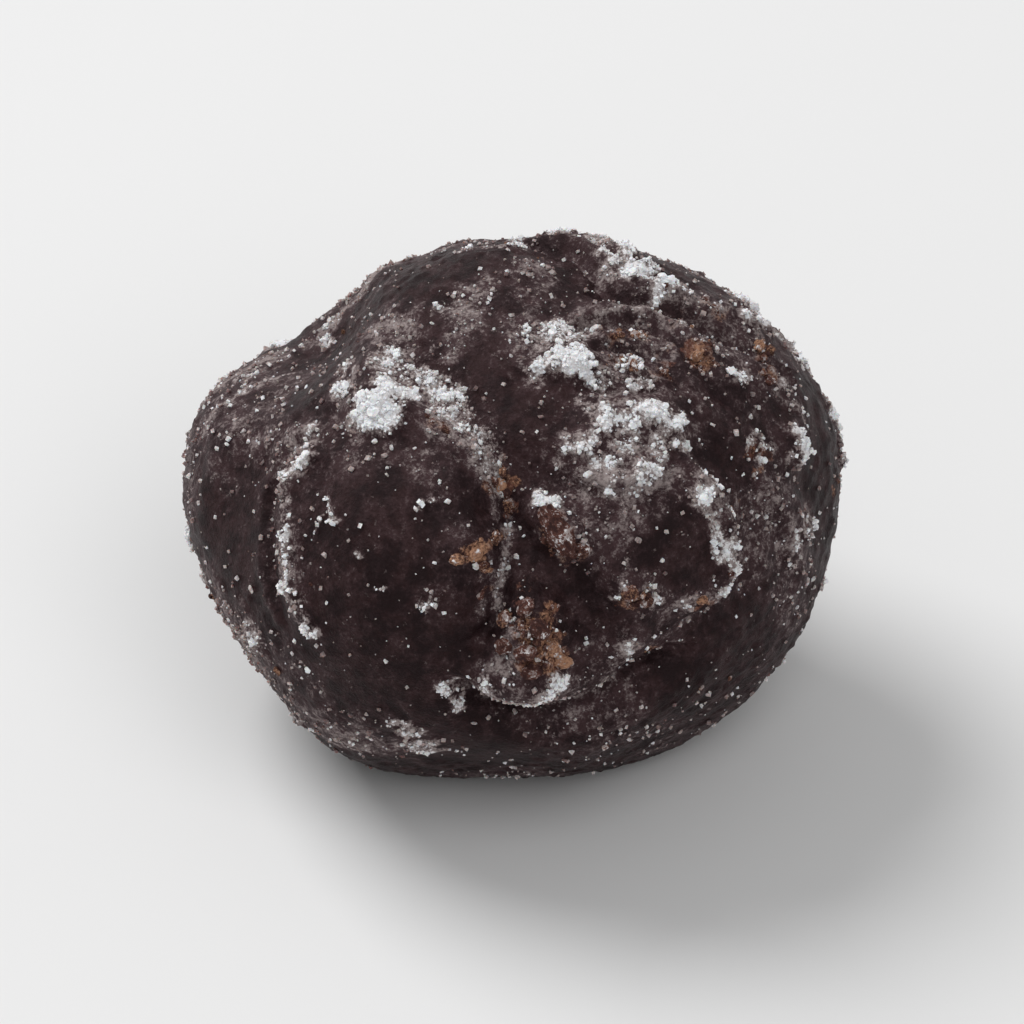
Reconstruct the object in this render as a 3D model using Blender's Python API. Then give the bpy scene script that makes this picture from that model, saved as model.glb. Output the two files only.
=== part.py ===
"""A dark chocolate truffle: one solid, hand-rolled and folded ball on a small flat foot."""

import math

import bmesh
import bpy
import numpy as np

# Outside size of the finished truffle, in metres.
WIDTH = 0.0302
DEPTH = 0.0288
HEIGHT = 0.0236

# The plain ball under the coating, in millimetres: its half sizes, its average radius, and how far
# below its middle the foot is cut.
BALL_HALF_SIZES = (14.6, 13.3, 13.0)
BALL_RADIUS = 13.7
FOOT_DROP = 10.7

# The icosphere's first division, and the cuts along each of its edges.
ICOSPHERE_LEVEL = 2
EDGE_CUTS = 10

# Every place on the ball is a pair of angles in degrees. The first turns about the vertical, 0 at the
# front (-Y) and positive towards +X. The second rises from the middle towards the top.

# Broad swellings and hollows: place, rise in millimetres, reach in degrees.
SWELLINGS = (
    ((-31, 26), 1.25, 36),  # large dome, front left
    ((33, 31), 1.30, 23),  # small dome, front right
    ((108, 20), 0.90, 34),  # right shoulder
    ((-102, 14), 0.85, 26),  # left shoulder
    ((-104, 42), -1.9, 26),  # hollow above the left shoulder
    ((-122, 33), -1.00, 24),  # hollow behind the left shoulder
    ((-153, 48), -0.6, 26),  # hollow behind the top
    ((163, 50), -0.65, 26),  # the same, further right
    ((113, 32), -0.30, 22),  # hollow behind the right shoulder
    ((4, 42), -1.0, 17),  # valley between the two domes
    ((150, 70), 0.6, 34),  # top
    ((176, 8), 0.8, 40),  # back
    ((-140, -12), 0.6, 34),  # back left
    ((8, -46), -1.9, 52),  # underside, front
    ((45, -20), -1.3, 34),  # underside, right
    ((-72, -24), -0.7, 34),  # underside, left
    ((180, -50), -1.2, 50),  # underside, back
)

# Flattened faces left by rolling: place, and depth taken off in millimetres. The blend is how softly
# a flat runs into the round, in millimetres.
FLATS = (
    ((-64, 22), 0.55),
    ((118, 74), 0.60),
    ((72, 8), 0.50),
    ((-150, 12), 0.60),
    ((140, -8), 0.55),
    ((-10, -24), 0.45),
)
FLAT_BLEND = 0.45

# Folds: the path of the crease, its depth, the rise of the lip beside it, in millimetres, and the
# crease's half width in degrees. A lip of positive rise lies on the left, as seen from outside while
# walking from the first place, and one of negative rise lies on the right.
FOLDS = (
    # the long fold that curls over the large dome and runs down beside the crumb
    (
        ((-100, 58), (-72, 65), (-45, 64), (-22, 61), (-10, 51), (-4, 40), (-4, 30), (-6, 19), (-9, 10)),
        0.70,
        -0.50,
        4.0,
    ),
    # the curl round the small dome
    (((50, 48), (55, 38), (56, 27), (53, 17), (45, 11), (33, 12)), 0.60, -0.55, 3.8),
    # the undercut below the crumb and the small dome
    (((-14, 10), (-8, 1), (3, -4), (15, -2), (28, 4), (43, 3)), 1.15, 0.0, 4.6),
    # the crease between the top and the right shoulder
    (((-172, 66), (160, 69), (132, 71), (110, 69), (101, 61), (98, 50), (97, 40), (95, 28)), 0.55, 0.0, 4.0),
    # two creases on the far side
    (((-120, 24), (-138, 14), (-158, 18), (-176, 30)), 0.50, 0.40, 4.2),
    (((116, 12), (138, -2), (160, 2), (178, -10)), 0.45, 0.40, 4.2),
)

# Ridges: the path of the crest, its rise in millimetres, and its half width in degrees.
RIDGES = (
    (((-69, 42), (-60, 38), (-61, 31), (-54, 25), (-50, 19), (-45, 13), (-38, 9)), 0.50, 2.9),
    (((-92, 30), (-82, 16), (-79, 2)), 0.35, 3.6),
    (((76, 76), (92, 69), (95, 61), (91, 54), (82, 48)), 0.50, 3.2),
    (((178, 50), (152, 59), (128, 61), (110, 58), (105, 50), (104, 42), (103, 30)), 0.60, 3.4),
    (((95, 47), (91, 40), (88, 33), (85, 24)), 0.45, 3.0),
    (((68, 26), (72, 12), (66, -2)), 0.45, 3.6),
    (((-3, 40), (-2, 34), (-3, 27)), 0.45, 2.8),
)

# Small lumps stuck on the ball: place, rise in millimetres, long and short half widths in degrees,
# and the turn of the long side away from level, in degrees.
LUMPS = (
    ((10, 38), 1.90, 6.8, 3.6, -50),  # nib
    ((3, 18), 1.75, 6.4, 7.6, 0),  # crumb beside the long fold
    ((1, 7), 1.80, 9.5, 4.2, 0),  # its lower edge
    ((-9, 35), 0.50, 5.2, 3.8, 20),
    ((23, 24), 0.90, 4.4, 4.2, 0),
    ((24, 14), 0.85, 4.0, 4.6, 0),
    ((34, 20), 0.50, 6.0, 3.6, -15),
    ((33, 56), 0.75, 6.0, 4.6, 0),
    ((48, 52), 0.80, 6.4, 5.0, -20),
    ((22, 52), 0.60, 5.0, 4.4, 0),
    ((31, 46), 0.60, 6.0, 4.6, 30),
    ((38, 71), 0.65, 7.0, 5.4, 10),
    ((-54, 54), 0.70, 7.0, 5.4, 25),
    ((79, 27), 0.80, 4.8, 4.4, 0),
    ((113, 44), 0.40, 6.0, 5.0, -35),
    ((-13, 2), 0.50, 2.8, 5.0, 0),
    ((-141, 43), 0.35, 6.5, 4.8, 20),
    ((-162, 49), 0.40, 9.0, 6.0, 0),
    ((158, 34), 0.65, 6.0, 4.8, -30),
)

# Slow unevenness everywhere: rise in millimetres, and how quickly it varies round the ball.
RIPPLES = ((0.16, 2.6), (0.12, 4.1), (0.09, 6.3))
WAVES_PER_RIPPLE = 3
RIPPLE_SEED = 7

# Samples along each fold and ridge, and the share of its length that fades in or out at each end.
PATH_SAMPLES = 90
PATH_FADE = 0.16

CHOCOLATE_COLOUR = (0.022, 0.013, 0.013, 1.0)
CHOCOLATE_ROUGHNESS = 0.45
MILLIMETRE = 0.001


def direction(place):
    """The unit vector that points to a place on the ball."""
    turn, rise = np.radians(place)
    return np.array((math.sin(turn) * math.cos(rise), -math.cos(turn) * math.cos(rise), math.sin(rise)))


def degrees_between(directions, target):
    """The angle from each direction to the target."""
    return np.degrees(np.arccos(np.clip(directions @ target, -1.0, 1.0)))


def fade(distance, reach):
    """1 at no distance, falling smoothly to 0 at the reach."""
    inside = np.clip(distance / reach, 0.0, 1.0)
    return (1.0 - inside**2) ** 2


def hump(distance, half_width):
    """A rounded crest, 1 at its middle."""
    return np.exp(-((distance / half_width) ** 2))


def smooth_path(places):
    """Even samples along a smooth curve through the places, as unit vectors, with the way along at each."""
    corners = np.array([direction(p) for p in places])
    corners = np.vstack((2 * corners[0] - corners[1], corners, 2 * corners[-1] - corners[-2]))
    spans = len(places) - 1
    position = np.linspace(0.0, spans, PATH_SAMPLES)
    start = np.minimum(position.astype(int), spans - 1)
    t = (position - start)[:, None]
    before, first, second, after = (corners[start + k] for k in range(4))
    curve = first + 0.5 * t * (second - before)
    curve += 0.5 * t**2 * (2 * before - 5 * first + 4 * second - after)
    curve += 0.5 * t**3 * (3 * first - before - 3 * second + after)
    curve /= np.linalg.norm(curve, axis=1)[:, None]
    return curve, np.gradient(curve, axis=0)


def along_path(directions, places):
    """For each direction, its distance to the path, positive on the left, and the path's strength there."""
    curve, way = smooth_path(places)
    nearness = directions @ curve.T
    nearest = nearness.argmax(axis=1)
    distance = np.degrees(np.arccos(np.clip(nearness.max(axis=1), -1.0, 1.0)))
    leftward = np.cross(curve, way)[nearest]
    side = np.sign(np.einsum("ij,ij->i", directions, leftward))
    share = nearest / (PATH_SAMPLES - 1)
    strength = np.clip(np.minimum(share, 1.0 - share) / PATH_FADE, 0.0, 1.0)
    return distance * side, strength * strength * (3.0 - 2.0 * strength)


def swelling_rise(directions):
    rise = np.zeros(len(directions))
    for place, height, reach in SWELLINGS:
        rise += height * fade(degrees_between(directions, direction(place)), reach)
    return rise


def fold_rise(directions):
    rise = np.zeros(len(directions))
    for places, depth, lip, half_width in FOLDS:
        offset, strength = along_path(directions, places)
        lip_side = math.copysign(1.0, lip)
        lip_middle = offset * lip_side - 1.5 * half_width
        rise -= strength * depth * hump(offset, half_width)
        rise += strength * abs(lip) * hump(lip_middle, 1.3 * half_width)
    return rise


def ridge_rise(directions):
    rise = np.zeros(len(directions))
    for places, height, half_width in RIDGES:
        offset, strength = along_path(directions, places)
        rise += strength * height * hump(offset, half_width)
    return rise


def lump_rise(directions):
    rise = np.zeros(len(directions))
    for place, height, long_half, short_half, turn in LUMPS:
        middle = direction(place)
        level = np.cross(middle, (0.0, 0.0, 1.0))
        level /= -np.linalg.norm(level)
        upward = np.cross(middle, level)
        angle = math.radians(turn)
        long_way = math.cos(angle) * level + math.sin(angle) * upward
        short_way = math.cos(angle) * upward - math.sin(angle) * level
        along = np.degrees(directions @ long_way) / long_half
        across = np.degrees(directions @ short_way) / short_half
        facing = directions @ middle > 0.0
        rise += facing * height * np.exp(-((along**2 + across**2) ** 1.5))
    return rise


def ripple_rise(directions):
    random = np.random.default_rng(RIPPLE_SEED)
    rise = np.zeros(len(directions))
    for height, waves in RIPPLES:
        for _ in range(WAVES_PER_RIPPLE):
            way = random.normal(size=3)
            way /= np.linalg.norm(way)
            phase = random.uniform(0.0, 2.0 * math.pi)
            rise += height * np.sin(waves * directions @ way + phase)
    return rise


def flat_rise(directions):
    rise = np.zeros(len(directions))
    for place, depth in FLATS:
        reach = directions @ direction(place)
        over = (BALL_RADIUS * (reach - 1.0) + depth) / FLAT_BLEND
        rise -= FLAT_BLEND * np.logaddexp(0.0, over) * (reach > 0.5)
    return rise


def truffle_points(directions):
    """The surface point in each direction, in millimetres from the ball's middle."""
    rise = swelling_rise(directions)
    rise += flat_rise(directions)
    rise += fold_rise(directions)
    rise += ridge_rise(directions)
    rise += lump_rise(directions)
    rise += ripple_rise(directions)
    return directions * (np.array(BALL_HALF_SIZES) + rise[:, None])


def shape_ball(bm):
    """Moves an icosphere's corners out to the truffle's surface, in metres."""
    directions = np.array([v.co.normalized() for v in bm.verts])
    for vertex, point in zip(bm.verts, truffle_points(directions) * MILLIMETRE, strict=True):
        vertex.co = point


def cut_foot(bm):
    """Slices the bottom off level and closes it with one flat face."""
    geometry = bm.verts[:] + bm.edges[:] + bm.faces[:]
    level = (0.0, 0.0, -FOOT_DROP * MILLIMETRE)
    cut = bmesh.ops.bisect_plane(bm, geom=geometry, plane_co=level, plane_no=(0.0, 0.0, -1.0), clear_outer=True)
    rim = [e for e in cut["geom_cut"] if isinstance(e, bmesh.types.BMEdge)]
    bmesh.ops.edgeloop_fill(bm, edges=rim)


def fit_size(bm):
    """Gives the body its outside size, with the foot at the origin's level and the middle above the origin."""
    points = np.array([v.co for v in bm.verts])
    low = points.min(axis=0)
    high = points.max(axis=0)
    scale = np.array((WIDTH, DEPTH, HEIGHT)) / (high - low)
    origin = np.array(((low[0] + high[0]) / 2, (low[1] + high[1]) / 2, low[2]))
    for vertex, point in zip(bm.verts, (points - origin) * scale, strict=True):
        vertex.co = point


def chocolate():
    material = bpy.data.materials.new("dark_chocolate")
    material.use_nodes = True
    surface = material.node_tree.nodes["Principled BSDF"]
    surface.inputs["Base Color"].default_value = CHOCOLATE_COLOUR
    surface.inputs["Roughness"].default_value = CHOCOLATE_ROUGHNESS
    return material


def build_truffle(collection):
    mesh = bpy.data.meshes.new("truffle")
    bm = bmesh.new()
    bmesh.ops.create_icosphere(bm, subdivisions=ICOSPHERE_LEVEL, radius=1.0)
    bmesh.ops.subdivide_edges(bm, edges=bm.edges[:], cuts=EDGE_CUTS, use_grid_fill=True)
    shape_ball(bm)
    cut_foot(bm)
    fit_size(bm)
    bmesh.ops.triangulate(bm, faces=bm.faces[:])
    bmesh.ops.recalc_face_normals(bm, faces=bm.faces[:])
    for face in bm.faces:
        face.smooth = True
    bm.to_mesh(mesh)
    bm.free()
    mesh.materials.append(chocolate())
    truffle = bpy.data.objects.new("truffle", mesh)
    collection.objects.link(truffle)


def main():
    for item in list(bpy.data.objects):
        bpy.data.objects.remove(item)
    collection = bpy.data.collections.new("chocolate_truffle")
    bpy.context.scene.collection.children.link(collection)
    build_truffle(collection)


main()
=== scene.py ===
"""Looks of a dark chocolate truffle: a folded coating under sugar dust, caked sugar, crystals and crumbs."""

import itertools
import math

import bmesh
import bpy
import numpy as np
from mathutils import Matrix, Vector
from mathutils.bvhtree import BVHTree


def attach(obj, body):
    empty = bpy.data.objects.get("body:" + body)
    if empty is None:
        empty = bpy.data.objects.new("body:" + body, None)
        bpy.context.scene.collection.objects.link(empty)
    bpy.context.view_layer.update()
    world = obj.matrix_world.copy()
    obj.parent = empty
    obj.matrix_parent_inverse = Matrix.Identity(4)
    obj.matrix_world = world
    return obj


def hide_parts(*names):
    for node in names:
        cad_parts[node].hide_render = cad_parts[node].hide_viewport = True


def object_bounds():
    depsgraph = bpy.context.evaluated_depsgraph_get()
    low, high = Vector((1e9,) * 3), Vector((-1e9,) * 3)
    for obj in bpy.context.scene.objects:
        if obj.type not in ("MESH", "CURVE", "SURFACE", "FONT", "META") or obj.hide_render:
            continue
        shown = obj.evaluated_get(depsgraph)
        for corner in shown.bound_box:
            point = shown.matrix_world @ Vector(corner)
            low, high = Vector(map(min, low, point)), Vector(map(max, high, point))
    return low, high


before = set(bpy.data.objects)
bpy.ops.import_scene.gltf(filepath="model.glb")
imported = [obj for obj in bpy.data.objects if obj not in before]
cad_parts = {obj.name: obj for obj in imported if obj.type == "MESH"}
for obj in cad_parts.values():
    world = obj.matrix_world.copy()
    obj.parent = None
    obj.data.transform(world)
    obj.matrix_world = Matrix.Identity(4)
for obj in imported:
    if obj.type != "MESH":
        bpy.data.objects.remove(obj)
CAD_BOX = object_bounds()
MILLIMETRE = 0.001

# The ball's middle in the frame, and its half sizes, in millimetres.
BALL_MIDDLE = (0.2, 0.3, 10.7)
BALL_HALF_SIZES = (14.6, 13.3, 13.0)

# The fine surface: cuts along each edge of the first icosphere, and rounds of smoothing.
ICOSPHERE_LEVEL = 2
FINE_CUTS = 47
SMOOTHING_ROUNDS = 14

# Every place on the ball is a pair of angles in degrees. The first turns about the vertical, 0 at the
# front (-Y) and positive towards +X. The second rises from the middle towards the top.
SHOWN_SIDE = (0, 39)

# Smooth stretches of coating: place, reach in degrees.
SMOOTH_AREAS = (
    ((-30, 14), 27),
    ((-32, 32), 20),
    ((37, 26), 15),
    ((-6, 69), 18),
    ((-72, 14), 16),
    ((-10, -16), 20),
    ((178, 10), 30),
    ((-130, -6), 26),
    ((112, -10), 26),
)

# Thin creases: path, depth and lip in millimetres, half width in degrees. A lip of positive rise lies on
# the left, as seen from outside while walking from the first place, and one of negative rise on the right.
CREASES = (
    (
        ((-83, 60), (-55, 61), (-30, 60), (-14, 56), (-5, 47), (-2, 39), (-3, 29), (-5, 20), (-8, 11)),
        0.40,
        -0.22,
        1.6,
    ),
    (((50, 48), (54, 38), (54, 27), (51, 18), (43, 13), (32, 14)), 0.40, -0.30, 1.6),
    (((-14, 9), (-8, 1), (3, -3), (15, -1), (27, 5), (41, 4)), 0.55, 0.20, 1.9),
    (((-172, 64), (160, 67), (132, 69), (110, 67), (99, 59), (96, 49), (94, 38), (91, 27)), 0.40, 0.30, 1.5),
    (((60, 77), (80, 73), (86, 64), (82, 57), (76, 50), (74, 40)), 0.36, 0.28, 1.5),
    (((55, 72), (68, 66), (72, 58), (66, 50)), 0.30, 0.24, 1.4),
    (((168, 58), (140, 64), (120, 63), (112, 56)), 0.34, -0.28, 1.5),
    (((-12, 73), (14, 70), (34, 65), (50, 60)), 0.22, 0.20, 1.5),
    (((14, 47), (22, 43), (36, 41), (46, 44)), 0.26, 0.20, 1.4),
    (((-60, 44), (-66, 36), (-64, 26), (-56, 15), (-47, 6)), 0.26, -0.18, 1.5),
    (((62, 30), (66, 20), (64, 8)), 0.26, 0.20, 1.5),
    (((-120, 24), (-138, 14), (-158, 18), (-176, 30)), 0.36, 0.26, 1.7),
    (((116, 12), (138, -2), (160, 2), (178, -10)), 0.36, 0.26, 1.7),
)

# Caked sugar, with painted highlights among it on the nib's top and along the outline: place, reach in
# degrees, strength.
SUGAR_AND_HIGHLIGHT_PATCHES = (
    # the bright cake at the head of the long fold, and the band that runs on along it
    ((-51, 55), 4.6, 2.80),
    ((-54, 52), 3.2, 1.80),
    ((-55, 60), 4.2, 1.20),
    ((-67, 52), 4.0, 0.95),
    ((-78, 52), 3.4, 0.85),
    ((-70, 61), 5.0, 0.90),
    ((-60, 65), 5.0, 0.86),
    ((-46, 65), 4.6, 0.92),
    ((-36, 63), 5.0, 0.98),
    ((-27, 61), 4.6, 0.86),
    ((-17, 58), 4.4, 0.80),
    ((-9, 52), 3.6, 0.78),
    # the cake on the top
    ((38, 70), 3.8, 2.30),
    ((39, 74), 4.4, 1.30),
    ((24, 72), 4.4, 0.95),
    ((14, 75), 3.6, 0.82),
    ((59, 80), 4.2, 0.95),
    ((25, 82), 3.6, 0.78),
    ((66, 76), 4.4, 0.86),
    ((47, 65), 3.6, 0.80),
    # the cluster above the small dome
    ((22, 53), 3.6, 0.98),
    ((30, 57), 4.0, 1.00),
    ((37, 56), 3.6, 1.10),
    ((47, 54), 4.4, 1.35),
    ((51, 50), 3.8, 1.20),
    ((35, 50), 4.2, 0.88),
    ((26, 48), 3.6, 0.96),
    ((44, 47), 3.4, 1.00),
    ((36, 44), 3.4, 0.96),
    ((27, 43), 3.2, 0.86),
    ((52, 45), 3.2, 0.94),
    # single spots
    ((79, 27), 3.2, 1.80),
    ((55, 29), 1.9, 1.60),
    ((68, 11), 2.2, 1.10),
    ((75, 12), 2.2, 0.95),
    ((70, 33), 2.0, 0.95),
    ((84, 42), 2.2, 0.95),
    ((44, 36), 2.6, 1.35),
    ((48, 20), 2.4, 1.30),
    ((46, 26), 1.8, 1.10),
    ((49, 37), 2.2, 1.10),
    ((-13, 5), 2.2, 1.15),
    ((-12, 0), 2.2, 1.02),
    # the nib's white top: sugar with a painted highlight on it
    ((9, 43), 2.3, 1.35),
    ((11, 39), 1.8, 0.95),
    ((3, 20), 2.0, 1.25),
    ((22, 25), 1.8, 0.95),
    ((29, 20), 2.2, 0.95),
    ((35, 17), 2.2, 0.90),
    ((24, 12), 2.4, 0.95),
    # strips and spots on the right shoulder
    ((135, 65), 2.6, 1.15),
    ((128, 65), 2.6, 1.05),
    ((121, 64), 3.0, 1.25),
    ((112, 61), 2.8, 1.20),
    ((121, 34), 3.2, 1.25),
    ((110, 37), 2.8, 1.10),
    ((84, 66), 2.6, 1.00),
    ((61, 64), 2.4, 1.05),
    ((81, 43), 2.6, 1.15),
    ((55, 60), 2.2, 0.96),
    ((59, 57), 2.0, 0.96),
    ((78, 10), 2.2, 1.05),
    ((107, 5), 2.6, 0.95),
    ((26, 84), 2.6, 1.00),
    ((12, 73), 2.4, 1.05),
    ((44, 80), 2.4, 1.00),
    # spots on the left ridge
    ((-66, 40), 2.2, 0.90),
    ((-59, 37), 2.4, 1.00),
    ((-62, 31), 1.9, 1.15),
    ((-56, 28), 1.8, 0.90),
    ((-53, 24), 2.2, 1.15),
    ((-49, 21), 1.8, 1.05),
    ((-48, 17), 1.9, 1.10),
    ((-44, 14), 1.7, 0.90),
    ((-41, 11), 2.2, 1.15),
    # spots on the large dome
    ((-33, 30), 1.4, 1.20),
    ((-44, 33), 1.8, 1.10),
    ((-46, 28), 1.3, 0.95),
    ((-29, 24), 1.3, 1.00),
    ((-18, 25), 1.4, 1.00),
    ((-23, 42), 1.2, 0.90),
    # far edge of the top, along the outline seen from the camera: sugar, with a painted sheen where the edge
    # turns away
    ((-160, 66), 3.0, 1.00),
    ((179, 66), 3.0, 1.05),
    ((165, 52), 3.6, 1.05),
    ((149, 59), 3.4, 1.00),
    ((136, 61), 3.2, 1.10),
    ((124, 60), 3.2, 1.05),
    ((108, 57), 3.0, 1.00),
    ((118, 33), 3.4, 1.05),
    ((105, 42), 3.0, 0.95),
    ((105, 16), 3.4, 0.95),
    ((99, 8), 3.0, 0.90),
    ((-118, 35), 3.0, 0.95),
    ((-107, 25), 2.4, 0.90),
    ((-94, 76), 2.6, 0.90),
    # low on the front
    ((-59, -4), 4.4, 0.85),
    ((-22, -8), 4.0, 0.86),
    ((-20, -16), 4.4, 0.86),
    ((-56, -24), 5.0, 0.86),
)

# Sugar caught along folds and ridges, and one line of painted sheen on sugar along the far outline: path,
# half width in degrees, strength.
SUGAR_AND_RIM_SHEEN_LINES = (
    (((-69, 42), (-60, 38), (-61, 31), (-54, 25), (-50, 19), (-45, 13), (-38, 9)), 2.0, 0.88),
    (((-83, 58), (-60, 62), (-36, 62), (-21, 59), (-9, 50), (-4, 42)), 3.0, 0.80),
    (((-3, 41), (-1, 35), (-4, 28), (-5, 20)), 1.6, 0.76),
    (((-9, 10), (-4, 7), (2, 5), (7, 7), (10, 10)), 3.0, 1.45),
    (((45, 40), (47, 36), (46, 30), (47, 24), (49, 19), (45, 17), (39, 20)), 1.5, 1.15),
    # along the far outline: sugar with a painted sheen on it
    (((-150, 60), (-172, 69), (178, 62), (152, 59), (128, 61), (110, 58), (106, 48), (112, 36)), 1.7, 0.84),
    (((76, 76), (92, 69), (95, 61), (91, 54), (82, 48)), 1.4, 0.80),
    (((95, 47), (91, 40), (88, 33), (85, 24)), 1.4, 0.78),
    (((120, 44), (112, 30), (105, 16), (99, 4)), 1.6, 0.78),
    (((-118, 40), (-104, 34), (-94, 20), (-86, 4)), 1.8, 0.66),
    (((-90, 0), (-72, -14), (-48, -22), (-22, -20)), 3.0, 0.66),
)

# Thin veils of dust, the first two also a painted sheen along the outline: path, half width in degrees,
# strength.
VEILS_AND_RIM_SHEEN = (
    # the first two run along the outline seen from the camera: dust with a painted sheen on it
    (
        ((-98, 6), (-106, 19), (-116, 28), (-125, 35), (-134, 41), (-147, 46), (-160, 50), (178, 52)),
        3.6,
        1.05,
    ),
    (((172, 51), (158, 49), (146, 46), (132, 40), (119, 31), (108, 21), (99, 6)), 3.2, 0.95),
    (((52, 74), (76, 62), (92, 46), (92, 26)), 17.0, 0.64),
    (((-108, 44), (-92, 30), (-84, 12)), 12.0, 0.46),
    (((-112, 58), (-90, 63), (-74, 64), (-52, 63), (-30, 60), (-14, 55)), 6.5, 0.85),
    (((-152, 76), (-116, 81), (-80, 80), (-60, 76), (-48, 72)), 4.6, 0.95),
    (((176, 70), (160, 80), (30, 84), (30, 76), (32, 66)), 6.0, 0.85),
    (((62, 78), (74, 70), (80, 60), (76, 52)), 8.0, 0.75),
    (((108, 62), (100, 52), (92, 40), (84, 26)), 7.0, 0.70),
    (((26, 60), (40, 58), (54, 52), (52, 42)), 7.5, 0.80),
    (((-100, 40), (-86, 30), (-70, 34), (-60, 34)), 8.0, 0.70),
    (((-60, 30), (-54, 24), (-46, 14)), 5.0, 0.75),
    (((-84, 0), (-62, -10), (-40, -16), (-16, -14)), 8.0, 0.80),
    (((8, 44), (14, 36), (20, 30)), 3.5, 0.70),
    (((20, 28), (30, 20), (40, 16)), 4.5, 0.75),
    (((0, 24), (-3, 8), (8, 4)), 4.0, 0.80),
)

# Rust-brown nut and cocoa bits in the folds: place, reach in degrees, strength.
COCOA_PATCHES = (
    ((3, 22), 5.5, 1.05),
    ((5, 16), 6.5, 1.20),
    ((7, 13), 4.5, 1.15),
    ((-9, 34), 4.0, 1.05),
    ((-12, 33), 2.6, 0.95),
    ((-6, 36), 3.0, 1.00),
    ((-5, 48), 3.6, 1.00),
    ((-4, 44), 2.6, 0.85),
    ((-7, 52), 2.8, 0.80),
    ((-30, 57), 3.4, 0.85),
    ((-6, 26), 2.6, 0.85),
    ((11, 37), 4.2, 0.95),
    ((15, 33), 3.0, 0.80),
    ((23, 23), 3.2, 1.00),
    ((40, 15), 2.2, 0.85),
    ((46, 18), 2.4, 0.85),
    ((58, 26), 2.0, 0.75),
    ((80, 65), 4.0, 0.95),
    ((82, 52), 4.0, 0.95),
    ((95, 57), 3.6, 0.85),
    ((104, 50), 4.0, 0.85),
    ((70, 70), 3.0, 0.75),
    ((66, 58), 4.0, 0.80),
    ((84, 65), 2.6, 1.00),
    ((60, 65), 2.2, 0.95),
    ((84, 54), 2.6, 1.05),
    ((77, 58), 2.4, 0.90),
    ((98, 40), 2.8, 1.05),
    ((92, 37), 2.6, 0.95),
    ((68, 32), 2.8, 0.90),
    ((105, 60), 2.4, 0.90),
    ((-54, 50), 2.6, 0.80),
    ((90, 38), 3.0, 0.75),
    ((30, 8), 2.6, 0.75),
)

# On the side that faces away, more of the same is laid at random, down to a lowest rise in degrees. Each
# kind has its ranges of reach in degrees and of strength.
FAR_PATCHES = 64
FAR_SEED = 23
FAR_LOWEST_RISE = -35.0
FAR_SUGAR = ((2.0, 5.5), (0.65, 1.15))
FAR_COCOA = ((1.5, 3.5), (0.5, 1.0))

# Samples along a path, and the share of its length over which it fades at each end.
PATH_SAMPLES = 90
PATH_FADE = 0.14

# Random numbers that the noise draws on.
TABLE_SIZE = 1 << 16

# The coarse crumb at the foot of the long fold, and the nib: place, reach in degrees.
FOLD_CRUMB = ((3, 17), 12)
NIB = ((11, 38), 9)

# Wrinkles: the shoulder where they are (place, reach in degrees), how far apart their crests are in
# degrees, and how high the crests are in millimetres.
WRINKLED_SHOULDER = ((100, 48), 62)
WRINKLE_SPACING = 6.5
WRINKLE_HEIGHT = 0.30

# Loose pieces: how many, their half sizes in millimetres, and their shape. Level is that of the icosphere
# a piece starts from, or 0 for a cube. Flatness is its height as a share of its width, jaggedness how far
# its corners stray as a share of its size, and tumble how far it is tipped over at random.
CRYSTALS = 11000
CRYSTAL_SIZES = (0.030, 0.115)
CRYSTAL_SHAPE = {"level": 0, "flatness": 0.9, "jaggedness": 0.26, "tumble": 1.0}
FLAKES = 620
FLAKE_SIZES = (0.06, 0.22)
FLAKE_SHAPE = {"level": 2, "flatness": 0.60, "jaggedness": 0.34, "tumble": 0.5}
CRUMBS = 420
CRUMB_SIZES = (0.05, 0.24)
CRUMB_SHAPE = {"level": 2, "flatness": 0.75, "jaggedness": 0.34, "tumble": 0.6}

# Large crumbs set one by one: place, half sizes along, across and out in millimetres, turn in degrees, and
# tone from dark to pale.
LARGE_CRUMBS = (
    ((10, 38), (1.35, 0.66, 0.42), -50, 0.10),  # the nib
    ((15, 34), (0.50, 0.38, 0.30), -20, 0.25),
    ((2, 24), (0.50, 0.36, 0.30), 60, 0.20),
    ((-2, 21), (0.46, 0.36, 0.28), 80, 0.45),
    ((4, 20), (0.62, 0.44, 0.34), -60, 0.10),
    ((-2, 16), (0.50, 0.40, 0.30), 40, 0.15),
    ((2, 16), (0.55, 0.40, 0.32), 20, 0.25),
    ((7, 16), (0.62, 0.36, 0.32), -50, 0.80),
    ((3, 12), (0.50, 0.38, 0.30), 10, 0.15),
    ((9, 12), (0.56, 0.32, 0.28), -35, 0.90),
    ((-9, 34), (0.56, 0.34, 0.26), 30, 0.85),
    ((-13, 32), (0.36, 0.28, 0.20), 0, 0.70),
    ((-5, 37), (0.34, 0.26, 0.20), 50, 0.50),
    ((-5, 48), (0.50, 0.38, 0.26), 70, 0.90),
    ((-3, 44), (0.36, 0.26, 0.20), 0, 0.55),
    ((23, 24), (0.42, 0.36, 0.26), 50, 0.40),
    ((27, 21), (0.32, 0.26, 0.20), 0, 0.30),
    ((39, 17), (0.28, 0.22, 0.18), 0, 0.70),
    ((82, 53), (0.36, 0.26, 0.22), 40, 0.80),
    ((79, 65), (0.32, 0.24, 0.20), 0, 0.70),
    ((98, 40), (0.34, 0.26, 0.22), 20, 0.80),
)
LARGE_CRUMB_LEVEL = 3
LARGE_CRUMB_JAGGEDNESS = 0.16

# The floor's side and the lamps' distance, in metres, and the strength of the light from all round.
FLOOR_SIZE = 0.55
LAMP_DISTANCE = 0.8
LIGHT_ALL_ROUND = 0.34

# Lamps: name, azimuth and elevation in degrees, size in metres, watts.
LAMPS = (
    ("key", -125.0, 52.0, 0.50, 4.5),
    ("front", 25.0, 50.0, 0.60, 1.9),
)

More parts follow.
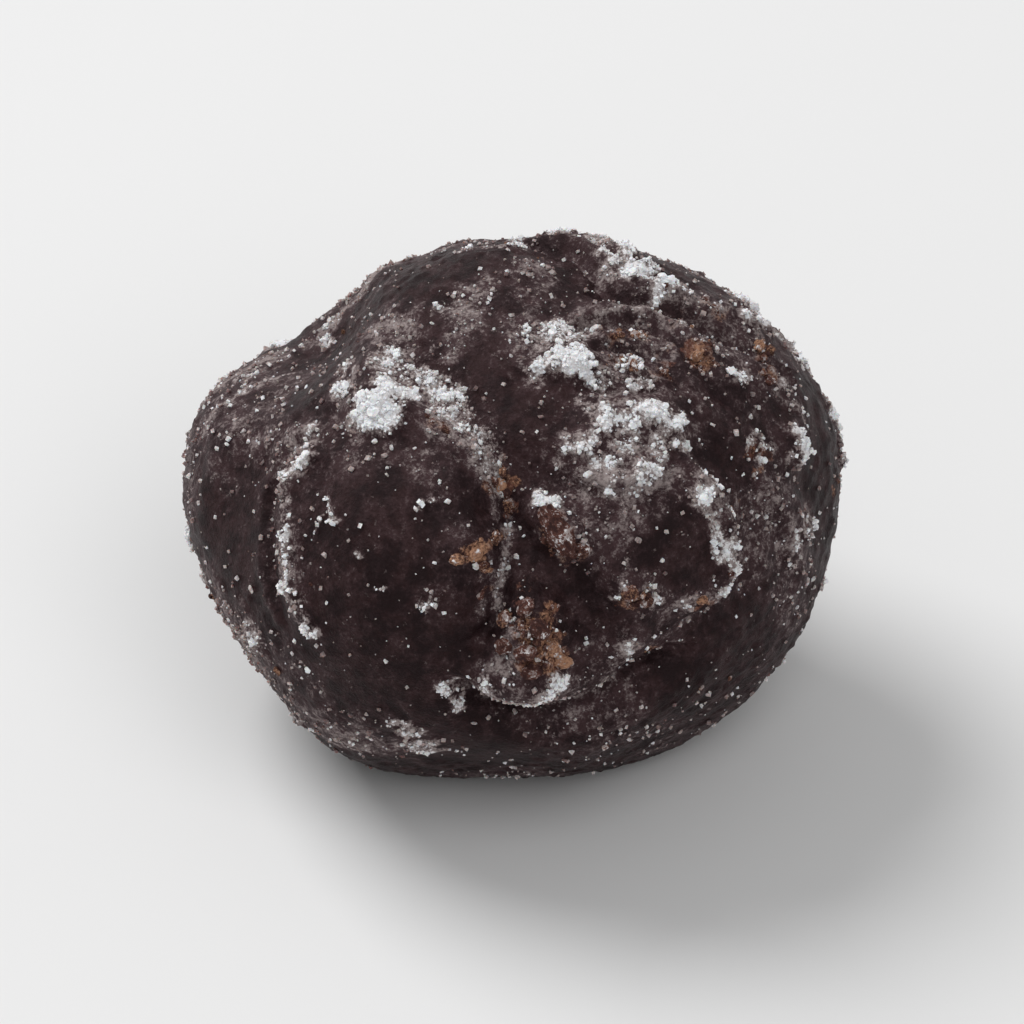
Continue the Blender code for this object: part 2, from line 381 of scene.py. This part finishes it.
# Camera: how far it stands, and how wide a field it takes in at the truffle, in metres. Its elevation is
# in degrees, and its sensor's width in millimetres.
CAMERA_DISTANCE = 0.67
CAMERA_FIELD = 0.047
CAMERA_ELEVATION = 39.0
SENSOR_WIDTH = 36.0


# ---------------------------------------------------------------- places, paths and random fields


def direction(place):
    """The unit vector that points to a place on the ball."""
    turn, rise = np.radians(place)
    return np.array((math.sin(turn) * math.cos(rise), -math.cos(turn) * math.cos(rise), math.sin(rise)))


def degrees_from(directions, place):
    """The angle from each direction to a place."""
    return np.degrees(np.arccos(np.clip(directions @ direction(place), -1.0, 1.0)))


def fade(distance, reach):
    """1 at no distance, falling smoothly to 0 at the reach."""
    inside = np.clip(distance / reach, 0.0, 1.0)
    return (1.0 - inside**2) ** 2


def hump(distance, half_width):
    """A rounded crest, 1 at its middle."""
    return np.exp(-((distance / half_width) ** 2))


def rise_between(values, low, high):
    """0 below the low value, 1 above the high one, smooth between."""
    share = np.clip((values - low) / (high - low), 0.0, 1.0)
    return share * share * (3.0 - 2.0 * share)


def smooth_path(places):
    """Even samples along a smooth curve through the places, as unit vectors, with the way along at each."""
    corners = np.array([direction(p) for p in places])
    corners = np.vstack((2 * corners[0] - corners[1], corners, 2 * corners[-1] - corners[-2]))
    spans = len(places) - 1
    position = np.linspace(0.0, spans, PATH_SAMPLES)
    start = np.minimum(position.astype(int), spans - 1)
    t = (position - start)[:, None]
    before, first, second, after = (corners[start + k] for k in range(4))
    curve = first + 0.5 * t * (second - before)
    curve += 0.5 * t**2 * (2 * before - 5 * first + 4 * second - after)
    curve += 0.5 * t**3 * (3 * first - before - 3 * second + after)
    curve /= np.linalg.norm(curve, axis=1)[:, None]
    return curve, np.gradient(curve, axis=0)


def along_path(directions, places):
    """For each direction, its distance to the path, positive on the left, and the path's strength there."""
    curve, way = smooth_path(places)
    nearness = directions @ curve.T
    nearest = nearness.argmax(axis=1)
    distance = np.degrees(np.arccos(np.clip(nearness.max(axis=1), -1.0, 1.0)))
    leftward = np.cross(curve, way)[nearest]
    side = np.sign(np.einsum("ij,ij->i", directions, leftward))
    share = nearest / (PATH_SAMPLES - 1)
    return distance * side, rise_between(np.minimum(share, 1.0 - share), 0.0, PATH_FADE)


def lattice_keys(corners):
    """A table row for each whole-number corner of the lattice."""
    mixed = corners[..., 0] * 73856093
    mixed = mixed ^ (corners[..., 1] * 19349663)
    mixed = mixed ^ (corners[..., 2] * 83492791)
    return mixed % TABLE_SIZE


def lattice_noise(points, cell, seed):
    """A smooth random field from -1 to 1 that varies over the cell size."""
    table = np.random.default_rng(seed).uniform(-1.0, 1.0, TABLE_SIZE)
    position = points / cell
    corner = np.floor(position).astype(np.int64)
    part = position - corner
    part = part * part * (3.0 - 2.0 * part)
    total = np.zeros(len(points))
    for step in itertools.product((0, 1), repeat=3):
        weight = np.where(step, part, 1.0 - part).prod(axis=1)
        total += weight * table[lattice_keys(corner + np.array(step))]
    return total


def fractal_noise(points, cell, seed, octaves=3):
    """Noise with finer and fainter noise added, about -1 to 1."""
    total = np.zeros(len(points))
    for octave in range(octaves):
        total += 0.5**octave * lattice_noise(points, cell / 2**octave, seed + octave)
    return total


def clumps(points, cell, seed):
    """Rounded clumps about a cell wide: 1 in the middle of each, 0 between them."""
    table = np.random.default_rng(seed).uniform(0.0, 1.0, (TABLE_SIZE, 3))
    position = points / cell
    corner = np.floor(position).astype(np.int64)
    nearest = np.full(len(points), 9.0)
    for step in itertools.product((-1, 0, 1), repeat=3):
        neighbour = corner + np.array(step)
        middle = neighbour + table[lattice_keys(neighbour)]
        nearest = np.minimum(nearest, np.linalg.norm(position - middle, axis=1))
    return np.sqrt(np.clip(1.0 - (nearest / 0.75) ** 2, 0.0, 1.0))


# ---------------------------------------------------------------- the coating


class Surface:
    """The fine coating while it is shaped: directions and points in millimetres from the ball's middle."""

    def __init__(self):
        bm = bmesh.new()
        bmesh.ops.create_icosphere(bm, subdivisions=ICOSPHERE_LEVEL, radius=1.0)
        bmesh.ops.subdivide_edges(bm, edges=bm.edges[:], cuts=FINE_CUTS, use_grid_fill=True)
        self.mesh = bpy.data.meshes.new("coating")
        bm.to_mesh(self.mesh)
        bm.free()
        corners = np.zeros(len(self.mesh.vertices) * 3)
        self.mesh.vertices.foreach_get("co", corners)
        self.directions = corners.reshape(-1, 3)
        self.directions /= np.linalg.norm(self.directions, axis=1)[:, None]
        edges = np.zeros(len(self.mesh.edges) * 2, np.int64)
        self.mesh.edges.foreach_get("vertices", edges)
        self.edges = edges.reshape(-1, 2)
        self.points = self.directions * self.smoothed(self.reach_of_cad(), SMOOTHING_ROUNDS)[:, None]
        self.outward = self.points / np.linalg.norm(self.points, axis=1)[:, None]

    def reach_of_cad(self):
        """How far out the solid's surface lies along each direction once stretched, in millimetres."""
        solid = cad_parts["truffle"].data
        corners = [v.co / MILLIMETRE - Vector(BALL_MIDDLE) for v in solid.vertices]
        tree = BVHTree.FromPolygons(corners, [p.vertices for p in solid.polygons])
        stretched = self.directions * np.array(BALL_HALF_SIZES)
        ways = stretched / np.linalg.norm(stretched, axis=1)[:, None]
        origin = Vector((0.0, 0.0, 0.0))
        return np.array([tree.ray_cast(origin, Vector(way))[3] for way in ways])

    def smoothed(self, values, rounds):
        """The values, each drawn towards the mean of its neighbours, round by round."""
        first, second = self.edges.T
        count = len(values)
        neighbours = np.bincount(first, minlength=count) + np.bincount(second, minlength=count)
        for _ in range(rounds):
            total = np.bincount(first, values[second], count) + np.bincount(second, values[first], count)
            values = 0.5 * values + 0.5 * total / neighbours
        return values


def wobbled(surface, amount, cell, seed):
    """The directions, pushed about by noise, so that what follows a path isn't drawn with a ruler."""
    points = surface.points
    push = np.stack([fractal_noise(points, cell, seed + 10 * axis) for axis in range(3)], axis=1)
    pushed = surface.directions + amount * push
    return pushed / np.linalg.norm(pushed, axis=1)[:, None]


def smooth_share(directions):
    """1 on the smooth, shiny stretches, 0 elsewhere."""
    share = np.zeros(len(directions))
    for place, reach in SMOOTH_AREAS:
        share = np.maximum(share, fade(degrees_from(directions, place), reach))
    return rise_between(share, 0.05, 0.55)


def patch_strength(directions, patches):
    """The strongest of the patches at each direction."""
    strength = np.zeros(len(directions))
    for place, reach, level in patches:
        strength = np.maximum(strength, level * fade(degrees_from(directions, place), 1.5 * reach))
    return strength


def line_strength(directions, lines):
    """The strongest of the lines at each direction. Each line comes and goes along its length."""
    strength = np.zeros(len(directions))
    gaps = 0.80 + 0.34 * fractal_noise(directions, 0.11, 45)
    for places, half_width, level in lines:
        offset, along = along_path(directions, places)
        strength = np.maximum(strength, level * along * gaps * hump(offset, half_width))
    return strength


def far_patches(reaches, levels, seed):
    """Patches at random places on the side that faces away."""
    random = np.random.default_rng(seed)
    patches = []
    while len(patches) < FAR_PATCHES:
        way = random.normal(size=3)
        way /= np.linalg.norm(way)
        place = (math.degrees(math.atan2(way[0], -way[1])), math.degrees(math.asin(way[2])))
        if way @ direction(SHOWN_SIDE) < 0.05 and place[1] > FAR_LOWEST_RISE:
            patches.append((place, random.uniform(*reaches), random.uniform(*levels)))
    return tuple(patches)


def crease_rise(directions):
    """The creases, each with its raised lip."""
    rise = np.zeros(len(directions))
    for places, depth, lip, half_width in CREASES:
        offset, strength = along_path(directions, places)
        lip_side = math.copysign(1.0, lip)
        rise -= strength * depth * hump(offset, half_width)
        rise += strength * abs(lip) * hump(offset * lip_side - 2.0 * half_width, 1.4 * half_width)
    return rise


def wrinkle_rise(surface, rough):
    """Thin curved crests, as where a skin of chocolate has been rolled over itself."""
    points = surface.points
    round_view = degrees_from(surface.directions, SHOWN_SIDE) / WRINKLE_SPACING
    phase = round_view + 1.6 * fractal_noise(points, 5.0, 51)
    crest = (1.0 - np.abs(np.sin(math.pi * phase))) ** 3
    place, reach = WRINKLED_SHOULDER
    shoulder = fade(degrees_from(surface.directions, place), reach)
    broken = rise_between(fractal_noise(points, 2.2, 57), -0.25, 0.5)
    return WRINKLE_HEIGHT * crest * shoulder * broken * rough


def clump_rise(surface, rough):
    """Lumps under the coating, and coarser ones at the foot of the long fold and on the nib."""
    points = surface.points
    rise = 0.10 * rough * clumps(points, 1.3, 61) * rise_between(lattice_noise(points, 3.0, 63), -0.3, 0.6)
    for (place, reach), height, cell, seed in ((FOLD_CRUMB, 0.50, 0.85, 67), (NIB, 0.20, 0.6, 71)):
        near = fade(degrees_from(surface.directions, place), reach)
        rise += height * near * (clumps(points, cell, seed) - 0.4)
    return rise


def grain_rise(surface, rough):
    """Fine grain with pits and raised specks, fainter on the smooth stretches."""
    points = surface.points
    rise = (0.025 + 0.055 * rough) * fractal_noise(points, 0.6, 81)
    pits = rise_between(lattice_noise(points, 0.9, 85), 0.55, 0.9)
    grains = rise_between(lattice_noise(points, 0.42, 87), 0.35, 0.8)
    faintness = 0.3 + 0.7 * rough
    return rise - 0.10 * pits * faintness + 0.06 * grains * faintness


def build_coating():
    """The fine surface with its relief and, as vertex attributes, its sugar, dust and cocoa; the sugar and
    dust hold painted highlights too, on the nib's top and along the outline.
    """
    surface = Surface()
    points = surface.points
    wavy = wobbled(surface, 0.022, 1.7, 31)
    ragged = wobbled(surface, 0.05, 0.9, 41)
    smooth = smooth_share(wavy)
    rough = 1.0 - smooth

    sugar_and_painted_highlights = patch_strength(ragged, SUGAR_AND_HIGHLIGHT_PATCHES + far_patches(*FAR_SUGAR, FAR_SEED))
    sugar_and_painted_highlights = np.maximum(sugar_and_painted_highlights, line_strength(wavy, SUGAR_AND_RIM_SHEEN_LINES))
    veil_and_rim_sheen = line_strength(ragged, VEILS_AND_RIM_SHEEN)
    cocoa = patch_strength(ragged, COCOA_PATCHES + far_patches(*FAR_COCOA, FAR_SEED + 1))

    rise = crease_rise(wavy) + wrinkle_rise(surface, rough) + clump_rise(surface, rough)
    hollow = surface.smoothed(rise, 30) - rise
    caught = rise_between(np.abs(hollow), 0.03, 0.16) * (0.35 + 0.65 * rough)
    drift = rise_between(fractal_noise(points, 4.5, 91), -0.35, 0.75)
    dust_and_rim_sheen = 0.08 + 0.36 * drift * rough + 0.24 * caught + 0.75 * sugar_and_painted_highlights
    dust_and_rim_sheen = np.clip(np.maximum(dust_and_rim_sheen, veil_and_rim_sheen), 0.0, 1.0)
    sugar_and_painted_highlights = np.maximum(sugar_and_painted_highlights, 0.55 * caught * drift)

    caked = rise_between(sugar_and_painted_highlights + 0.35 * fractal_noise(points, 0.8, 95), 0.60, 1.10)
    rise += caked * (0.16 + 0.10 * fractal_noise(points, 0.45, 96) + 0.12 * clumps(points, 0.5, 97))
    rise += grain_rise(surface, np.maximum(rough, caked))

    height = points[:, 2] + BALL_MIDDLE[2]
    clear_of_foot = rise_between(height, 0.05, 1.4)
    shaped = points + surface.outward * (rise * clear_of_foot)[:, None]
    shaped += np.array(BALL_MIDDLE)
    shaped[:, 2] = np.maximum(shaped[:, 2], 0.0)

    mesh = surface.mesh
    mesh.vertices.foreach_set("co", (shaped * MILLIMETRE).ravel())
    for name, values in (("sugar_and_painted_highlights", sugar_and_painted_highlights), ("dust_and_rim_sheen", dust_and_rim_sheen), ("cocoa", cocoa)):
        mesh.attributes.new(name, "FLOAT", "POINT").data.foreach_set("value", values.astype(np.float32))
    mesh.shade_smooth()
    mesh.update()
    coating = bpy.data.objects.new("coating", mesh)
    bpy.context.scene.collection.objects.link(coating)
    fields = {
        "sugar_and_painted_highlights": sugar_and_painted_highlights,
        "dust_and_rim_sheen": dust_and_rim_sheen,
        "cocoa": cocoa,
        "height": height,
        "directions": surface.directions,
    }
    return coating, fields


# ---------------------------------------------------------------- crystals, flakes and crumbs


def unit_lump(level):
    """A unit icosphere's corners and faces, as arrays; level 0 is a cube, the shape of a sugar grain."""
    bm = bmesh.new()
    if level:
        bmesh.ops.create_icosphere(bm, subdivisions=level, radius=1.0)
    else:
        bmesh.ops.create_cube(bm, size=1.6)
        bmesh.ops.triangulate(bm, faces=bm.faces[:])
    corners = np.array([v.co for v in bm.verts])
    faces = np.array([[v.index for v in f.verts] for f in bm.faces])
    bm.free()
    return corners, faces


def tangent_frames(normals, random):
    """For each normal, three unit vectors at right angles: two across, turned at random, and the normal."""
    sideways = np.cross(normals, random.normal(size=normals.shape))
    sideways /= np.linalg.norm(sideways, axis=1)[:, None]
    return np.stack((sideways, np.cross(normals, sideways), normals), axis=1)


class Scatter:
    """Small lumps on the coating, gathered and then joined into one mesh."""

    def __init__(self, name, coating, seed):
        self.name = name
        self.random = np.random.default_rng(seed)
        mesh = coating.data
        points = np.zeros(len(mesh.vertices) * 3)
        normals = np.zeros(len(mesh.vertices) * 3)
        mesh.vertices.foreach_get("co", points)
        mesh.vertices.foreach_get("normal", normals)
        self.points = points.reshape(-1, 3)
        self.normals = normals.reshape(-1, 3)
        self.corners, self.faces, self.tones = [], [], []
        self.corner_count = 0

    def add(self, level, points, frames, half_sizes, jaggedness, tones):
        """Adds a lump at each point; its half sizes lie along the three vectors of its frame."""
        corners, faces = unit_lump(level)
        count = len(points)
        jagged = 1.0 + jaggedness * self.random.uniform(-1.0, 1.0, (count, len(corners), 1))
        lumps = np.einsum("nij,njk->nik", corners[None] * jagged * half_sizes[:, None], frames)
        placed = points[:, None] + lumps * MILLIMETRE
        placed[..., 2] = np.maximum(placed[..., 2], 0.0)
        self.corners.append(placed.reshape(-1, 3))
        first = self.corner_count + np.arange(count) * len(corners)
        self.faces.append((faces[None] + first[:, None, None]).reshape(-1, 3))
        self.tones.append(np.repeat(tones, len(corners)))
        self.corner_count += count * len(corners)

    def sprinkle(self, weights, brightness, count, sizes, level, flatness, jaggedness, tumble):
        """Adds lumps where the weights are high, each sunk a little into the coating."""
        random = self.random
        chosen = random.choice(len(weights), size=count, p=weights / weights.sum())
        up = tangent_frames(self.normals[chosen], random)
        size = sizes[0] + (sizes[1] - sizes[0]) * random.uniform(size=count) ** 2.5
        half_sizes = size[:, None] * random.uniform(0.7, 1.3, (count, 3)) * np.array((1.0, 1.0, flatness))
        shift = random.normal(size=(count, 3)) * np.array((0.07, 0.07, 0.0))
        shift[:, 2] = 0.30 * flatness * size
        points = self.points[chosen] + np.einsum("nj,njk->nk", shift, up) * MILLIMETRE
        tilted = self.normals[chosen] + tumble * random.normal(size=(count, 3))
        frames = tangent_frames(tilted / np.linalg.norm(tilted, axis=1)[:, None], random)
        tones = brightness[chosen] + (1.0 - brightness[chosen]) * random.uniform(-0.5, 0.5, count)
        self.add(level, points, frames, half_sizes, jaggedness, tones)

    def set_by_hand(self, directions, pieces, level, jaggedness):
        """Adds a lump at each place, half sunk, with its long side turned as asked."""
        for place, half_sizes, turn, tone in pieces:
            nearest = (directions @ direction(place)).argmax()
            normal = self.normals[nearest]
            sideways = np.cross((0.0, 0.0, 1.0), normal)
            sideways /= np.linalg.norm(sideways)
            upward = np.cross(normal, sideways)
            angle = math.radians(turn)
            long_way = math.cos(angle) * sideways + math.sin(angle) * upward
            frame_ways = np.stack((long_way, np.cross(normal, long_way), normal))
            point = self.points[nearest] + 0.15 * half_sizes[2] * normal * MILLIMETRE
            self.add(level, point[None], frame_ways[None], np.array([half_sizes]), jaggedness, [tone])

    def joined(self):
        """All the lumps as one piece, with their tones as a vertex attribute."""
        mesh = bpy.data.meshes.new(self.name)
        mesh.from_pydata(np.vstack(self.corners).tolist(), [], np.vstack(self.faces).tolist())
        tones = np.concatenate(self.tones).astype(np.float32)
        mesh.attributes.new("tone", "FLOAT", "POINT").data.foreach_set("value", tones)
        piece = bpy.data.objects.new(self.name, mesh)
        bpy.context.scene.collection.objects.link(piece)
        return piece


# ---------------------------------------------------------------- materials


class Graph:
    """A material's node tree, with short ways to add the nodes used here."""

    def __init__(self, name):
        self.material = bpy.data.materials.new(name)
        self.material.use_nodes = True
        self.tree = self.material.node_tree
        self.shader = self.tree.nodes["Principled BSDF"]
        self.place = self.tree.nodes.new("ShaderNodeTexCoord").outputs["Object"]

    def feed(self, socket, value):
        if isinstance(value, bpy.types.NodeSocket):
            self.tree.links.new(value, socket)
        else:
            socket.default_value = value

    def attribute(self, name):
        node = self.tree.nodes.new("ShaderNodeAttribute")
        node.attribute_name = name
        return node.outputs["Fac"]

    def noise(self, size_mm, detail=3.0, roughness=0.6):
        node = self.tree.nodes.new("ShaderNodeTexNoise")
        self.feed(node.inputs["Vector"], self.place)
        node.inputs["Scale"].default_value = 1.0 / (size_mm * MILLIMETRE)
        node.inputs["Detail"].default_value = detail
        node.inputs["Roughness"].default_value = roughness
        return node.outputs["Fac"]

    def sum(self, *terms):
        """Adds terms, each a socket or a (socket, factor) pair."""
        total = None
        for term in terms:
            value, factor = term if isinstance(term, tuple) else (term, 1.0)
            node = self.tree.nodes.new("ShaderNodeMath")
            node.operation = "MULTIPLY_ADD"
            self.feed(node.inputs[0], value)
            node.inputs[1].default_value = factor
            self.feed(node.inputs[2], 0.0 if total is None else total)
            total = node.outputs[0]
        return total

    def product(self, first, second):
        node = self.tree.nodes.new("ShaderNodeMath")
        node.operation = "MULTIPLY"
        self.feed(node.inputs[0], first)
        self.feed(node.inputs[1], second)
        return node.outputs[0]

    def between(self, value, low, high, start=0.0, end=1.0):
        """Start below the low value, end above the high one, smooth between."""
        node = self.tree.nodes.new("ShaderNodeMapRange")
        node.interpolation_type = "SMOOTHSTEP"
        self.feed(node.inputs["Value"], value)
        node.inputs["From Min"].default_value = low
        node.inputs["From Max"].default_value = high
        node.inputs["To Min"].default_value = start
        node.inputs["To Max"].default_value = end
        return node.outputs["Result"]

    def mix(self, factor, first, second):
        node = self.tree.nodes.new("ShaderNodeMix")
        node.data_type = "RGBA"
        self.feed(node.inputs["Factor"], factor)
        self.feed(node.inputs[6], first)
        self.feed(node.inputs[7], second)
        return node.outputs[2]

    def bump(self, height, distance_mm, strength=1.0):
        node = self.tree.nodes.new("ShaderNodeBump")
        node.inputs["Strength"].default_value = strength
        node.inputs["Distance"].default_value = distance_mm * MILLIMETRE
        self.feed(node.inputs["Height"], height)
        self.feed(self.shader.inputs["Normal"], node.outputs["Normal"])


# Colours: linear red, green and blue, with alpha.
DARK_CHOCOLATE = (0.0105, 0.0040, 0.0046, 1.0)
WARM_CHOCOLATE = (0.0200, 0.0074, 0.0076, 1.0)
DUSTY_CHOCOLATE = (0.085, 0.050, 0.055, 1.0)
DARK_RUST = (0.036, 0.0135, 0.0125, 1.0)
RUST = (0.135, 0.052, 0.038, 1.0)
PALE_RUST = (0.430, 0.230, 0.140, 1.0)
SUGAR_WHITE = (0.87, 0.85, 0.86, 1.0)
SUGAR_GREY = (0.37, 0.31, 0.30, 1.0)
SUGAR_DIM = (0.12, 0.085, 0.086, 1.0)
FLOOR_GREY = (0.80, 0.80, 0.80, 1.0)
FLOOR_PALE = (0.82, 0.82, 0.82, 1.0)


def coating_material():
    g = Graph("chocolate_coating")
    # The sugar and dust attributes also hold painted light: a white highlight on the nib's top and a pale
    # sheen along the outline.
    sugar_and_painted_highlights, dust_and_rim_sheen, cocoa = g.attribute("sugar_and_painted_highlights"), g.attribute("dust_and_rim_sheen"), g.attribute("cocoa")
    patchy = g.between(g.noise(1.3, 4.0, 0.6), 0.38, 0.62)
    grain = g.between(g.noise(0.50, 5.0, 0.7), 0.38, 0.62)
    fine = g.between(g.noise(0.15, 4.0, 0.7), 0.36, 0.64)

    colour = g.mix(patchy, DARK_CHOCOLATE, WARM_CHOCOLATE)
    haze = g.between(g.sum(dust_and_rim_sheen, (patchy, 0.25), (grain, 0.30), (fine, 0.20)), 0.25, 1.35, 0.0, 0.80)
    colour = g.mix(haze, colour, DUSTY_CHOCOLATE)

    rust = g.mix(g.product(fine, patchy), g.mix(grain, DARK_RUST, RUST), PALE_RUST)
    bits = g.between(g.sum(cocoa, (grain, 0.35), (fine, 0.15)), 0.75, 1.10)
    colour = g.mix(bits, colour, rust)

    fleck = g.between(g.sum((g.noise(0.42, 5.0, 0.75), 1.0), (dust_and_rim_sheen, 0.20), (patchy, 0.04)), 0.66, 0.80)
    colour = g.mix(fleck, colour, g.mix(fine, SUGAR_DIM, SUGAR_GREY))

    powder = g.between(g.sum(dust_and_rim_sheen, (grain, 0.55), (fine, 0.35), (patchy, 0.15)), 0.95, 1.75, 0.0, 0.90)
    colour = g.mix(powder, colour, SUGAR_GREY)

    edge = g.sum(sugar_and_painted_highlights, (grain, 0.40), (fine, 0.30))
    thin = g.between(edge, 0.82, 1.20, 0.0, 0.90)
    colour = g.mix(thin, colour, SUGAR_GREY)
    thick = g.between(edge, 1.15, 1.42)
    colour = g.mix(thick, colour, SUGAR_WHITE)

    dull = g.sum((dust_and_rim_sheen, 0.28), (thin, 0.25), (grain, 0.10), (fleck, 0.2))
    g.feed(g.shader.inputs["Base Color"], colour)
    g.feed(g.shader.inputs["Roughness"], g.between(dull, 0.0, 0.6, 0.40, 0.90))
    g.shader.inputs["Specular IOR Level"].default_value = 0.08
    g.bump(g.sum((fine, 0.35), (grain, 0.35), (fleck, 0.5), (powder, 0.4)), 0.07, 0.8)
    return g.material


def sugar_material():
    g = Graph("sugar_and_painted_highlights")
    tone = g.sum((g.attribute("tone"), 1.0), (g.between(g.noise(0.3), 0.35, 0.65), 0.2))
    dim = g.mix(g.between(tone, 0.15, 0.50), SUGAR_DIM, SUGAR_GREY)
    g.feed(g.shader.inputs["Base Color"], g.mix(g.between(tone, 0.45, 0.90), dim, SUGAR_WHITE))
    g.shader.inputs["Roughness"].default_value = 0.7
    g.shader.inputs["Specular IOR Level"].default_value = 0.3
    g.shader.inputs["Subsurface Weight"].default_value = 0.15
    g.shader.inputs["Subsurface Scale"].default_value = 0.001
    g.bump(g.noise(0.08), 0.03, 0.6)
    return g.material


def crumb_material():
    g = Graph("cocoa_crumb")
    coarse = g.between(g.noise(0.45, 4.0, 0.65), 0.38, 0.62)
    fine = g.between(g.noise(0.12, 4.0, 0.7), 0.40, 0.62)
    colour = g.mix(coarse, DARK_RUST, RUST)
    colour = g.mix(g.between(g.sum(g.attribute("tone"), (fine, 0.5)), 0.55, 1.20), colour, PALE_RUST)
    dusted = g.between(g.sum((g.noise(0.45, 5.0, 0.75), 1.0), (fine, 0.06)), 0.56, 0.64)
    powder = g.mix(g.between(g.noise(0.6), 0.45, 0.6), SUGAR_GREY, SUGAR_WHITE)
    g.feed(g.shader.inputs["Base Color"], g.mix(dusted, colour, powder))
    g.shader.inputs["Roughness"].default_value = 0.8
    g.shader.inputs["Specular IOR Level"].default_value = 0.2
    g.bump(g.sum((coarse, 0.6), (fine, 0.4)), 0.06, 0.9)
    return g.material


def floor_material():
    g = Graph("pale_floor")
    g.feed(g.shader.inputs["Base Color"], g.mix(g.noise(40.0), FLOOR_GREY, FLOOR_PALE))
    g.shader.inputs["Roughness"].default_value = 0.9
    g.shader.inputs["Specular IOR Level"].default_value = 0.1
    return g.material


# ---------------------------------------------------------------- stage


def add_floor():
    bpy.ops.mesh.primitive_plane_add(size=FLOOR_SIZE)
    floor = bpy.context.object
    floor.name = "floor"
    floor.data.materials.append(floor_material())


def outward(azimuth, elevation):
    """The unit vector from the truffle towards a lamp or camera; azimuth 0 is in front."""
    return Vector(direction((azimuth, elevation)))


def aim_from(item, azimuth, elevation, distance):
    """Stands a lamp or camera at a distance and points it at the truffle's middle."""
    target = (CAD_BOX[0] + CAD_BOX[1]) / 2
    away = outward(azimuth, elevation)
    item.location = target + away * distance
    item.rotation_mode = "QUATERNION"
    item.rotation_quaternion = (-away).to_track_quat("-Z", "Y")


def add_lamp(name, azimuth, elevation, size, watts):
    lamp = bpy.data.lights.new(name, "AREA")
    lamp.shape = "DISK"
    lamp.size = size
    lamp.energy = watts
    item = bpy.data.objects.new(name, lamp)
    bpy.context.scene.collection.objects.link(item)
    aim_from(item, azimuth, elevation, LAMP_DISTANCE)


def add_world():
    """Even white light all round, seen by the camera and in reflections as plain white."""
    world = bpy.data.worlds.new("studio")
    world.use_nodes = True
    tree = world.node_tree
    background = tree.nodes["Background"]
    background.inputs["Color"].default_value = (1.0, 1.0, 1.0, 1.0)
    path = tree.nodes.new("ShaderNodeLightPath")
    first = tree.nodes.new("ShaderNodeMath")
    first.operation = "MAXIMUM"
    tree.links.new(path.outputs["Is Camera Ray"], first.inputs[0])
    tree.links.new(path.outputs["Is Glossy Ray"], first.inputs[1])
    second = tree.nodes.new("ShaderNodeMath")
    second.operation = "MAXIMUM"
    tree.links.new(first.outputs[0], second.inputs[0])
    tree.links.new(path.outputs["Is Transmission Ray"], second.inputs[1])
    strength = tree.nodes.new("ShaderNodeMapRange")
    strength.inputs["To Min"].default_value = LIGHT_ALL_ROUND
    strength.inputs["To Max"].default_value = 1.0
    tree.links.new(second.outputs[0], strength.inputs["Value"])
    tree.links.new(strength.outputs["Result"], background.inputs["Strength"])
    bpy.context.scene.world = world


def add_camera():
    data = bpy.data.cameras.new("camera")
    data.sensor_width = SENSOR_WIDTH
    data.lens = SENSOR_WIDTH * CAMERA_DISTANCE / CAMERA_FIELD
    data.clip_start = 0.01
    camera = bpy.data.objects.new("camera", data)
    bpy.context.scene.collection.objects.link(camera)
    aim_from(camera, 0.0, CAMERA_ELEVATION, CAMERA_DISTANCE)
    bpy.context.scene.camera = camera


def add_loose_pieces(coating, fields):
    """The sugar crystals, sugar flakes and cocoa crumbs, each joined into one piece."""
    height, sugar_and_painted_highlights, dust_and_rim_sheen, cocoa = (fields[name] for name in ("height", "sugar_and_painted_highlights", "dust_and_rim_sheen", "cocoa"))
    above_floor = rise_between(height, 0.6, 3.0) * (0.4 + 0.6 * rise_between(height, 3.0, 9.0))
    caked = rise_between(sugar_and_painted_highlights, 0.55, 1.1)

    crystals = Scatter("sugar_crystals", coating, 101)
    here = above_floor * (0.030 + 0.6 * dust_and_rim_sheen**2 + 2.4 * caked)
    brightness = 0.38 + 0.60 * caked
    crystals.sprinkle(here, brightness, CRYSTALS, CRYSTAL_SIZES, **CRYSTAL_SHAPE)

    flakes = Scatter("sugar_flakes", coating, 102)
    here = above_floor * (0.004 + 0.04 * dust_and_rim_sheen**2 + caked**2)
    brightness = 0.50 + 0.45 * caked
    flakes.sprinkle(here, brightness, FLAKES, FLAKE_SIZES, **FLAKE_SHAPE)

    crumbs = Scatter("cocoa_crumbs", coating, 103)
    here = above_floor * (0.001 + rise_between(cocoa, 0.35, 0.9) ** 2)
    brightness = np.full(len(cocoa), 0.4)
    crumbs.sprinkle(here, brightness, CRUMBS, CRUMB_SIZES, **CRUMB_SHAPE)
    crumbs.set_by_hand(fields["directions"], LARGE_CRUMBS, LARGE_CRUMB_LEVEL, LARGE_CRUMB_JAGGEDNESS)
    return crystals.joined(), flakes.joined(), crumbs.joined()


def main():
    coating, fields = build_coating()
    coating.data.materials.append(coating_material())
    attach(coating, "root")
    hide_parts("truffle")

    crystals, flakes, crumbs = add_loose_pieces(coating, fields)
    white = sugar_material()
    crystals.data.materials.append(white)
    flakes.data.materials.append(white)
    crumbs.data.materials.append(crumb_material())
    for piece in (crystals, flakes, crumbs):
        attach(piece, "root")

    add_floor()
    for lamp in LAMPS:
        add_lamp(*lamp)
    add_world()
    add_camera()
    bpy.context.scene.view_settings.view_transform = "Standard"


main()
